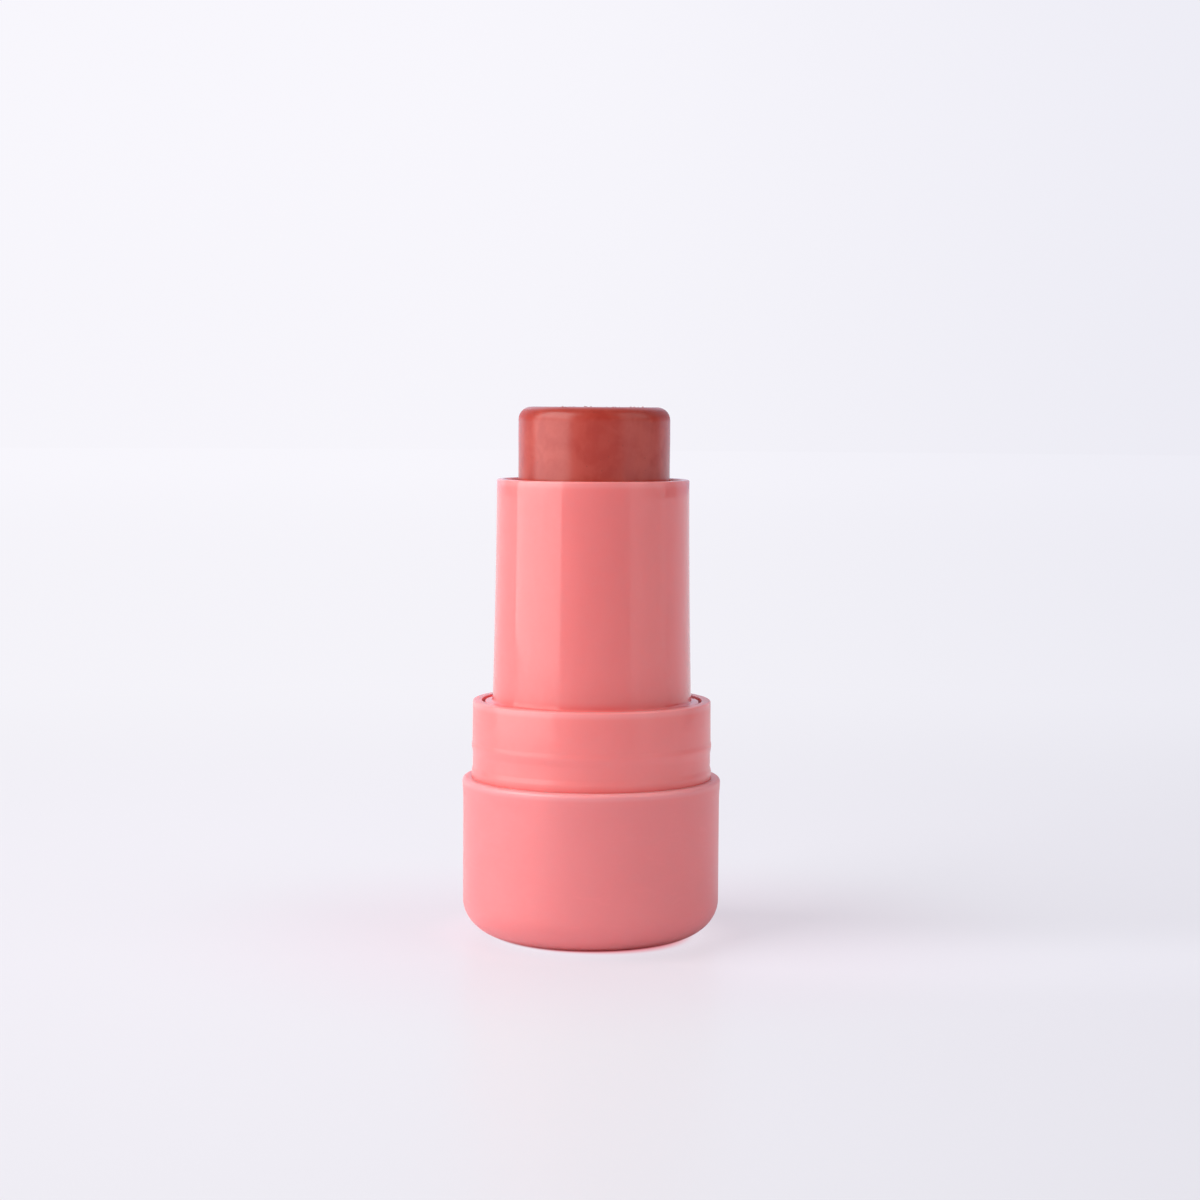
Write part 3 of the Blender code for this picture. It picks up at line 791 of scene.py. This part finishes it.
class BLUSH_STICK_OT_neck_ring(Operator):
    """Satin neck ring with two cap beads, its partition and the guide's socket"""

    bl_idname = "blush_stick.neck_ring"
    bl_label = "Neck Ring"

    def execute(self, context):
        sizes = context.scene.blush_stick.neck
        radius = sizes.radius
        bore = radius - sizes.wall
        rim = neck_high.z - sizes.rim_drop
        base_rim = base_high.z
        fine = 0.09 * MM
        spigot_depth, socket_tail = 5.0 * MM, 0.6 * MM
        partition = guide_low.z + spigot_depth
        ceiling = partition - sizes.partition
        socket_radius = sizes.socket_bore + sizes.socket_wall
        socket_bottom = guide_low.z - socket_tail
        outline = [(radius - sizes.taper, rim, sizes.rim_rounding)]
        waist = radius - sizes.waist
        crest = radius + sizes.proud
        outline += bead(
            radius, crest, waist,
            base_rim + sizes.upper_bead, sizes.upper_lead, 0.0, sizes.upper_fall,
        )
        outline += bead(
            waist, crest, radius,
            base_rim + sizes.lower_bead, sizes.lower_lead, sizes.lower_hold, sizes.lower_fall,
        )
        snap_proud, snap_depth, snap_flank = 0.1 * MM, 5.4 * MM, 0.4 * MM
        outline += bead(
            radius, radius + snap_proud, radius,
            base_rim - snap_depth, snap_flank, 0.0, snap_flank, 4,
        )
        lip_foot, lip_low = 0.9 * MM, 0.7 * MM
        outline += [
            (radius, neck_low.z, fine),
            (bore, neck_low.z, fine),
            (bore, ceiling),
            (socket_radius, ceiling),
            (socket_radius, socket_bottom, fine),
            (sizes.socket_bore, socket_bottom, fine),
            (sizes.socket_bore, partition, fine),
            (bore, partition),
            (bore, rim - lip_foot),
            (sizes.lip_bore, rim - lip_low),
            (sizes.lip_bore, rim, fine),
        ]
        ring = spin("satin_neck_ring", outline)
        rib_width, rib_drop, rib_rounding = 0.8 * MM, 1.6 * MM, 0.15 * MM
        in_socket = socket_radius - sizes.socket_wall / 2.0
        in_wall = bore + sizes.wall / 2.0
        in_partition = ceiling + sizes.partition / 2.0
        rib = [
            (in_socket, in_partition),
            (in_wall, in_partition),
            (in_wall, ceiling - rib_drop, rib_rounding),
            (in_socket, guide_low.z, rib_rounding),
        ]
        combine(ring, copies_around(plate("neck_rib", rib, rib_width), sizes.ribs), "UNION")
        notch_width, notch_depth, margin = 1.7 * MM, 0.5 * MM, 0.3 * MM
        notch_radius = sizes.socket_bore + notch_depth
        notch = [
            (sizes.socket_bore - margin, partition + margin),
            (notch_radius, partition + margin),
            (notch_radius, socket_bottom - margin),
            (sizes.socket_bore - margin, socket_bottom - margin),
        ]
        splines = context.scene.blush_stick.mechanism.splines
        notches = copies_around(plate("socket_notch", notch, notch_width), splines)
        combine(ring, notches, "DIFFERENCE")
        crevice = base_rim + 0.15 * MM
        look = satin_look(sizes.colour, crevice, rim)
        finish_piece(ring, look, "base", "neck_satin", "neck_insert")
        return {"FINISHED"}


class BLUSH_STICK_OT_tube(Operator):
    """Glossy, slightly tapered tube with the shoulder and skirt that turn in the neck ring"""

    bl_idname = "blush_stick.tube"
    bl_label = "Tube"

    def execute(self, context):
        sizes = context.scene.blush_stick.tube
        skirt_radius = tube_high.x
        skirt_bore = skirt_radius - sizes.skirt_wall
        bore = sizes.rim_radius - sizes.wall
        rim = tube_high.z - sizes.rim_drop
        shoulder = neck_high.z - sizes.drop
        under = neck_high.z - sizes.shoulder
        collar_depth, collar_slope, collar_low, collar_end = 1.0 * MM, 0.2 * MM, 1.2 * MM, 1.5 * MM
        collar = neck_high.z - collar_depth
        fine = sizes.rim_rounding
        edge_rounding, step_rounding, collar_rounding = 0.12 * MM, 0.05 * MM, 0.08 * MM
        outline = [(sizes.rim_radius, rim, fine)]
        rows = 14
        draft_power = 1.6
        fall = rim - shoulder - 2.0 * sizes.foot_rounding
        for row in range(1, rows + 1):
            way = row / rows
            radius = sizes.rim_radius + (sizes.foot_radius - sizes.rim_radius) * way**draft_power
            outline.append((radius, rim - fine - (fall - fine) * way))
        outline += [
            (sizes.foot_radius, shoulder, sizes.foot_rounding),
            (sizes.shoulder_edge, shoulder, edge_rounding),
            (sizes.shoulder_edge, shoulder - sizes.step, step_rounding),
            (sizes.seat, shoulder - sizes.step, step_rounding),
            (sizes.seat, collar),
            (sizes.collar, collar - collar_slope, collar_rounding),
            (sizes.collar, collar - collar_low, collar_rounding),
            (skirt_radius, collar - collar_end),
            (skirt_radius, tube_low.z, edge_rounding),
            (skirt_bore, tube_low.z, edge_rounding),
            (skirt_bore, under),
            (bore, under),
            (bore, rim, sizes.mouth_rounding),
        ]
        tube = spin("glossy_tube", outline, segments=FINE_SEGMENTS)
        look = gloss_look(sizes.colour, shoulder, rim)
        finish_piece(tube, look, "tube", "tube_gloss", "tube_shell")
        return {"FINISHED"}


class BLUSH_STICK_OT_blush(Operator):
    """Blush bullet with a soft top edge and a slightly uneven, poured surface"""

    bl_idname = "blush_stick.blush"
    bl_label = "Blush"

    def execute(self, context):
        sizes = context.scene.blush_stick.blush
        radius = sizes.radius
        top = blush_high.z
        root_radius, root_rounding = 7.78 * MM, 0.3 * MM
        carrier_gap, shoulder_rounding = 0.12 * MM, 0.1 * MM
        shoulder = carrier_high.z + carrier_gap
        edge = sizes.edge_rounding
        rings = 20
        outline = [(0.0, top)]
        outline += [((radius - edge) * ring / rings, top) for ring in range(1, rings)]
        outline.append((radius, top, edge))
        rows = 32
        shown_height = 8.2 * MM
        outline += [(radius, top - edge - shown_height * row / rows) for row in range(1, rows + 1)]
        outline += [
            (radius, shoulder, shoulder_rounding),
            (root_radius, shoulder),
            (root_radius, blush_low.z, root_rounding),
            (0.0, blush_low.z),
        ]
        bullet = spin("blush", outline, closed=False, segments=FINE_SEGMENTS)
        bpy.ops.object.mode_set(mode="EDIT")
        clear = 0.15 * MM
        choose(bullet, "VERT", lambda vert: vert.co.z > shoulder + clear)
        bpy.ops.transform.translate(value=(sizes.offset, 0.0, 0.0))
        leave_edit()
        # Applying a modifier frees the group's handle, so its name is kept apart
        group = "poured_surface"
        poured = bullet.vertex_groups.new(name=group)
        poured_depth = 9.0 * MM
        for vert in bullet.data.vertices:
            weight = min(1.0, max(0.0, (vert.co.z - (top - poured_depth)) / MM))
            poured.add([vert.index], weight, "REPLACE")
        swells = (
            ("broad_swell", 3.5 * MM, sizes.swell),
            ("fine_swell", 0.9 * MM, sizes.swell * 0.35),
        )
        for name, scale, strength in swells:
            texture = bpy.data.textures.new(name, "CLOUDS")
            texture.noise_scale = scale
            texture.noise_depth = 2
            select_only(bullet)
            bpy.ops.object.modifier_add(type="DISPLACE")
            change = bullet.modifiers[-1]
            change.texture = texture
            change.texture_coords = "LOCAL"
            change.strength = strength
            change.mid_level = 0.5
            change.vertex_group = group
            bpy.ops.object.modifier_apply(modifier=change.name)
        finish_piece(bullet, blush_look(sizes), "carrier", "blush", "blush_bullet")
        return {"FINISHED"}


class BLUSH_STICK_OT_crumbs(Operator):
    """Tiny crumbs of blush that cling to the top edge and the side"""

    bl_idname = "blush_stick.crumbs"
    bl_label = "Crumbs"

    def execute(self, context):
        sizes = context.scene.blush_stick.blush
        lots = random.Random(7)
        top = blush_high.z
        places = [(across * MM, deep * MM, top) for across, deep in NEAR_CRUMBS]
        places.append((sizes.radius, 0.0, top - SIDE_CRUMB_DEPTH))
        for _ in range(sizes.crumbs):
            turn = lots.uniform(0.1, 3.0)
            reach = lots.uniform(0.3, 1.0) * (sizes.radius - sizes.edge_rounding)
            places.append((reach * math.cos(turn), reach * math.sin(turn), top))
        crumbs = []
        for index, place in enumerate(places):
            size = sizes.crumb_size * lots.uniform(0.45, 1.0)
            select_only()
            bpy.ops.mesh.primitive_ico_sphere_add(
                subdivisions=2, radius=size, location=(0.0, 0.0, 0.0)
            )
            crumbs.append(bpy.context.object)
            edit_all()
            bpy.ops.transform.vertex_random(offset=size * 0.35, seed=index, normal=0.3)
            bpy.ops.transform.resize(value=(1.0, lots.uniform(0.6, 1.0), lots.uniform(0.5, 0.8)))
            turn_selected(lots.uniform(0.0, math.tau), "Z")
            bpy.ops.transform.translate(value=place)
            leave_edit()
        heap = join(crumbs)
        heap.name = heap.data.name = "blush_crumbs"
        look = bpy.data.materials.get("brick_red_blush") or blush_look(sizes)
        finish_piece(heap, look, "carrier", "blush")
        return {"FINISHED"}


class BLUSH_STICK_OT_guide(Operator):
    """Slotted guide tube with its lip, flange and splined spigot"""

    bl_idname = "blush_stick.guide"
    bl_label = "Slotted Guide"

    def execute(self, context):
        sizes = context.scene.blush_stick.mechanism
        bore = sizes.guide_bore
        radius = bore + sizes.guide_wall
        lip_radius, lip_height = 9.65 * MM, 0.7 * MM
        flange_height, flange = 6.0 * MM, 0.8 * MM
        spigot_radius, spigot_wall, hole = 7.2 * MM, 0.8 * MM, 2.2 * MM
        fine = 0.12 * MM
        top = guide_high.z
        flange_top = guide_low.z + flange_height
        flange_bottom = flange_top - flange
        spigot_bore = spigot_radius - spigot_wall
        outline = [
            (lip_radius, top, fine),
            (lip_radius, top - lip_height, fine),
            (radius, top - lip_height),
            (radius, flange_top),
            (guide_high.x, flange_top, fine),
            (guide_high.x, flange_bottom, fine),
            (spigot_radius, flange_bottom),
            (spigot_radius, guide_low.z, fine),
            (spigot_bore, guide_low.z, fine),
            (spigot_bore, flange_bottom),
            (hole, flange_bottom),
            (hole, flange_top, fine),
            (bore, flange_top),
            (bore, top, fine),
        ]
        guide = spin("slotted_guide", outline)
        half_slot = sizes.slot / 2.0
        cut_margin = 0.3 * MM
        reach = radius + cut_margin
        lug_level = carrier_low.z + LUG_HEIGHT
        bottom = lug_level + frame_travel()[0] - half_slot
        height = lug_level + frame_travel()[1] + half_slot
        slots = [(-reach, height), (reach, height), (reach, bottom), (-reach, bottom)]
        combine(guide, plate("guide_slots", slots, sizes.slot), "DIFFERENCE")
        spline_width, spline_root, spline_proud = 1.4 * MM, 0.4 * MM, 0.5 * MM
        tip_gap, tip_rounding = 0.5 * MM, 0.15 * MM
        root = spigot_radius - spline_root
        crest = spigot_radius + spline_proud
        spline = [
            (root, flange_bottom + spline_root),
            (crest, flange_bottom + spline_root),
            (crest, guide_low.z + tip_gap, tip_rounding),
            (root, guide_low.z + tip_gap),
        ]
        splines = copies_around(plate("spigot_spline", spline, spline_width), sizes.splines)
        combine(guide, splines, "UNION")
        finish_piece(guide, resin_look(sizes.resin), "base", "mechanism_resin", "guide_tube")
        return {"FINISHED"}


class BLUSH_STICK_OT_carrier(Operator):
    """Carrier cup that grips the blush, with its two lugs"""

    bl_idname = "blush_stick.carrier"
    bl_label = "Carrier"

    def execute(self, context):
        sizes = context.scene.blush_stick.mechanism
        radius = carrier_high.y
        bore = radius - sizes.carrier_wall
        low, rim = carrier_low.z, carrier_high.z
        floor, hole, foot_rounding, fine = 0.8 * MM, 2.6 * MM, 0.25 * MM, 0.1 * MM
        floor_top = low + floor
        outline = [
            (radius, rim, fine),
            (radius, low, foot_rounding),
            (hole, low, fine),
            (hole, floor_top, fine),
            (bore, floor_top),
            (bore, rim, fine),
        ]
        cup = spin("blush_carrier", outline)
        root = radius - sizes.carrier_wall / 2.0
        select_only()
        bpy.ops.mesh.primitive_cylinder_add(
            vertices=32, radius=sizes.lug, depth=carrier_high.x - root, location=(0.0, 0.0, 0.0)
        )
        lug = bpy.context.object
        bpy.ops.object.mode_set(mode="EDIT")
        tip = (carrier_high.x - root) / 2.0
        choose(lug, "EDGE", lambda edge: all(
            abs(vert.co.z - tip) < SAME_PLACE for vert in edge.verts
        ))
        lug_rounding = 0.08 * MM
        bpy.ops.mesh.bevel(offset=lug_rounding, offset_type="OFFSET", segments=3)
        bpy.ops.mesh.select_all(action="SELECT")
        turn_selected(-math.pi / 2.0, "Y")
        bpy.ops.transform.translate(value=(root + tip, 0.0, low + LUG_HEIGHT))
        leave_edit()
        combine(cup, copies_around(lug, 2), "UNION")
        finish_piece(cup, resin_look(sizes.resin), "carrier", "mechanism_resin", "carrier_cup")
        return {"FINISHED"}


class BLUSH_STICK_OT_kept_nodes(Operator):
    """Finishes of the cam sleeve and the friction ring, whose CAD shapes are kept"""

    bl_idname = "blush_stick.kept_nodes"
    bl_label = "Kept Pieces"

    def execute(self, context):
        sizes = context.scene.blush_stick.mechanism
        looks = {
            "cam_sleeve": resin_look(sizes.resin), "friction_ring": silicone_look(sizes.silicone)
        }
        for name, look in looks.items():
            for holder in frame["nodes"][name].material_slots:
                holder.material = look
        return {"FINISHED"}


def frame_travel():
    """The carrier's lowest and highest place, from the frame's joints, in metres."""
    for joint in frame["record"]["behaviour"]["joints"]:
        if joint["name"] == "carrier_slide":
            return joint["range_m"]
    raise RuntimeError("the frame has no carrier_slide joint")


class BLUSH_STICK_OT_stage(Operator):
    """Pale floor, two softboxes, the studio around them and the camera"""

    bl_idname = "blush_stick.stage"
    bl_label = "Stage"

    def execute(self, context):
        stage = context.scene.blush_stick.stage
        floor_radius, rim_width = 3.0, 2.4
        select_only()
        bpy.ops.mesh.primitive_circle_add(
            vertices=96, radius=floor_radius, fill_type="NGON", location=(0.0, 0.0, 0.0)
        )
        floor = bpy.context.object
        floor.name = floor.data.name = "pale_floor"
        edit_all()
        bpy.ops.mesh.inset(thickness=rim_width)
        leave_edit()
        floor.data.materials.append(self.floor_look(stage))
        low, middle, high = 0.0, stage.softbox_middle, stage.softbox_height
        key = (-1.0, stage.key_start, stage.key_end)
        fill = (1.0, stage.fill_start, stage.fill_end)
        self.softbox("key_softbox", stage, *key, low, middle, stage.key)
        self.softbox("key_softbox_top", stage, *key, middle, high, stage.key_top)
        self.softbox("fill_softbox", stage, *fill, low, middle, stage.fill)
        self.softbox("fill_softbox_top", stage, *fill, middle, high, stage.fill_top)
        self.studio(context.scene, stage)
        self.camera(context.scene, stage)
        return {"FINISHED"}

    def backdrop(self, tree, direction, stage):
        """Backdrop colour in a direction: painted lighter to the left than to the right, as the
        left softbox would light it.
        """
        across = tree.step(tree.along(direction, "X"), -0.1, 0.32)
        return tree.blend(across, stage.left_backdrop, stage.right_backdrop)

    def floor_look(self, stage):
        """Matte floor with painted light round the foot: pink bounce light, a halo, a red contact
        shadow and a painted glow that weakens its real shadow; it fades to the backdrop beyond.
        """
        tree = material("pale_floor")
        point = tree.add("ShaderNodeTexCoord", output="Object")
        reach = tree.vector("LENGTH", point, output="Value")
        from_front = tree.vector("ADD", point, (0.0, 0.48, 0.0))
        direction = tree.vector("NORMALIZE", from_front)
        cloud = tree.grain(tree.place(), 0.03, 4.0, 0.6)
        tint = tree.blend(cloud, tinted(stage.floor, 0.993), tinted(stage.floor, 1.007))
        # Painted bounce light: the floor turns pink round the stick
        pink = tree.blend(tree.within(reach, BOUNCE_BAND), (1.0, 1.0, 1.0), stage.bounce)
        # The painted red bounce and shade along the foot, and the glow that lessens its real
        # shadow, are drawn out a little along the view and to the right
        shortened = tree.vector("MULTIPLY", point, (1.0, 0.85, 1.0))
        close = tree.vector("LENGTH", shortened, output="Value")
        right = tree.along(point, "X")
        close = close - tree.step(right, -0.002, 0.012, 0.0, 0.0016)
        # Painted light and shade close to the foot: a pink halo, redder bounce along the foot and a
        # red contact shadow
        halo = tree.within(reach, HALO_BAND)
        pink = tree.blend(halo * 0.5, pink, stage.halo)
        pink = tree.blend(tree.within(close, FOOT_BAND), pink, stage.near_bounce)
        pink = tree.blend(tree.within(reach, CONTACT_BAND), pink, stage.contact)
        tint = tree.blend(1.0, tint, pink, "MULTIPLY")
        matte = {"Base Color": tint, "Roughness": 0.35, "IOR": 1.5}
        lit = tree.add("ShaderNodeBsdfPrincipled", {}, matte, "BSDF")
        backdrop = tree.blend(1.0, self.backdrop(tree, direction, stage), pink, "MULTIPLY")
        depth = tree.along(point, "Y")
        # The floor's glow is dimmer at the front than further back; painted light raises it close
        # to the foot, most on its left, and in front of the foot to the right
        glow = tree.step(depth, -0.08, 0.25, 0.80, 0.954) + tree.step(depth, 0.25, 2.0, 0.0, 0.03)
        glow = glow + halo * tree.step(right, -0.006, 0.010, 0.12, 0.02)
        beside = tree.step(depth, -0.035, -0.008) * tree.step(depth, -0.012, 0.012, 1.0, 0.0)
        glow = glow + tree.step(right, 0.008, 0.020, 0.0, 0.07) * beside
        far = tree.add("ShaderNodeEmission", {}, {"Color": backdrop, "Strength": glow})
        seen = tree.ray("Camera")
        mirrored = tree.ray("Glossy")
        passed = tree.ray("Transmission")
        # Close round the foot the camera sees mostly the painted glow and not the lit floor, so the
        # floor's real shadow shows less there
        near = tree.step(close, *SHADOW_BAND, 1.08, stage.floor_glow)
        beyond = tree.step(reach, *FADE_BAND)
        far_side = tree.step(depth, -0.02, 0.08)
        shown = seen * (near + (1.0 - near) * beyond)
        shown = shown + (mirrored + passed) * beyond * far_side
        return tree.surface(tree.add("ShaderNodeMixShader", {}, {0: shown, 1: lit, 2: far}))

    def softbox(self, name, stage, side, start, end, low, high, gain):
        """An upright area lamp that spans these angles round the stick, from the camera's side."""
        middle = (start + end) / 2.0
        reach = stage.softbox_distance
        width = 2.0 * reach * math.tan((end - start) / 2.0)
        height = high - low
        place = Vector((side * math.sin(middle), -math.cos(middle), 0.0)) * reach
        select_only()
        bpy.ops.object.light_add(
            type="AREA",
            location=(place.x, place.y, low + height / 2.0),
            rotation=(math.pi / 2.0, 0.0, side * middle),
        )
        lamp = bpy.context.object
        lamp.name = lamp.data.name = name
        lamp.data.shape = "RECTANGLE"
        lamp.data.size = width
        lamp.data.size_y = height
        lamp.data.energy = gain * math.pi * width * height
        lamp.visible_camera = False

    def studio(self, scene, stage):
        """The world: the backdrop for the camera, and a studio that is bright behind the stick."""
        world = bpy.data.worlds.new("studio")
        scene.world = world
        tree = Tree(world, "ShaderNodeOutputWorld")
        direction = tree.add("ShaderNodeTexCoord", output="Generated")
        depth = tree.along(direction, "Y")
        sideways = tree.along(direction, "X")
        backdrop = self.backdrop(tree, direction, stage)
        behind = tree.blend(tree.step(sideways, -0.2, 0.2), stage.left_back, stage.right_back)
        before = tree.blend(tree.step(sideways, 0.84, 0.9), stage.front, stage.right_gap)
        around = tree.blend(tree.step(depth + sideways * 0.105, 0.555, 0.6), before, behind)
        lit = tree.add("ShaderNodeBackground", {}, {"Color": around, "Strength": 1.0})
        # The backdrop shown to the camera is a little dimmer near the horizon than above it
        haze = tree.step(tree.along(direction, "Z"), 0.0, 0.12, 0.972, 0.984)
        shown = tree.add("ShaderNodeBackground", {}, {"Color": backdrop, "Strength": haze})
        seen = tree.ray("Camera")
        tree.surface(tree.add("ShaderNodeMixShader", {}, {0: seen, 1: lit, 2: shown}))

    def camera(self, scene, stage):
        pitch = Matrix.Rotation(math.pi / 2.0 - stage.camera_pitch, 3, "X")
        turn = pitch @ Matrix.Rotation(stage.camera_roll, 3, "Z")
        select_only()
        bpy.ops.object.camera_add(location=stage.camera_place, rotation=turn.to_euler())
        camera = bpy.context.object
        camera.data.sensor_width = 36.0
        camera.data.lens = stage.lens
        scene.camera = camera
        scene.view_settings.view_transform = "Standard"


class BLUSH_STICK_PT_pieces(Panel):
    bl_idname = "BLUSH_STICK_PT_pieces"
    bl_label = "Blush Stick"
    bl_space_type = "VIEW_3D"
    bl_region_type = "UI"
    bl_category = "Blush Stick"

    def draw(self, context):
        for piece in PIECES:
            self.layout.operator(piece.bl_idname)
        settings = context.scene.blush_stick
        for name in BlushStickSettings.__annotations__:
            box = self.layout.box()
            box.label(text=name.title())
            group = getattr(settings, name)
            for field in type(group).__annotations__:
                box.prop(group, field)


PIECES = (
    BLUSH_STICK_OT_base_cup,
    BLUSH_STICK_OT_neck_ring,
    BLUSH_STICK_OT_tube,
    BLUSH_STICK_OT_blush,
    BLUSH_STICK_OT_crumbs,
    BLUSH_STICK_OT_guide,
    BLUSH_STICK_OT_carrier,
    BLUSH_STICK_OT_kept_nodes,
    BLUSH_STICK_OT_stage,
)

CLASSES = (
    BaseSettings,
    NeckSettings,
    TubeSettings,
    BlushSettings,
    MechanismSettings,
    StageSettings,
    BlushStickSettings,
    *PIECES,
    BLUSH_STICK_PT_pieces,
)


def register():
    for made in CLASSES:
        bpy.utils.register_class(made)
    bpy.types.Scene.blush_stick = PointerProperty(type=BlushStickSettings)


def unregister():
    del bpy.types.Scene.blush_stick
    for made in reversed(CLASSES):
        bpy.utils.unregister_class(made)


def main():
    register()
    for piece in PIECES:
        name = piece.bl_idname.partition(".")[2]
        getattr(bpy.ops.blush_stick, name)()


if __name__ == "__main__":
    main()
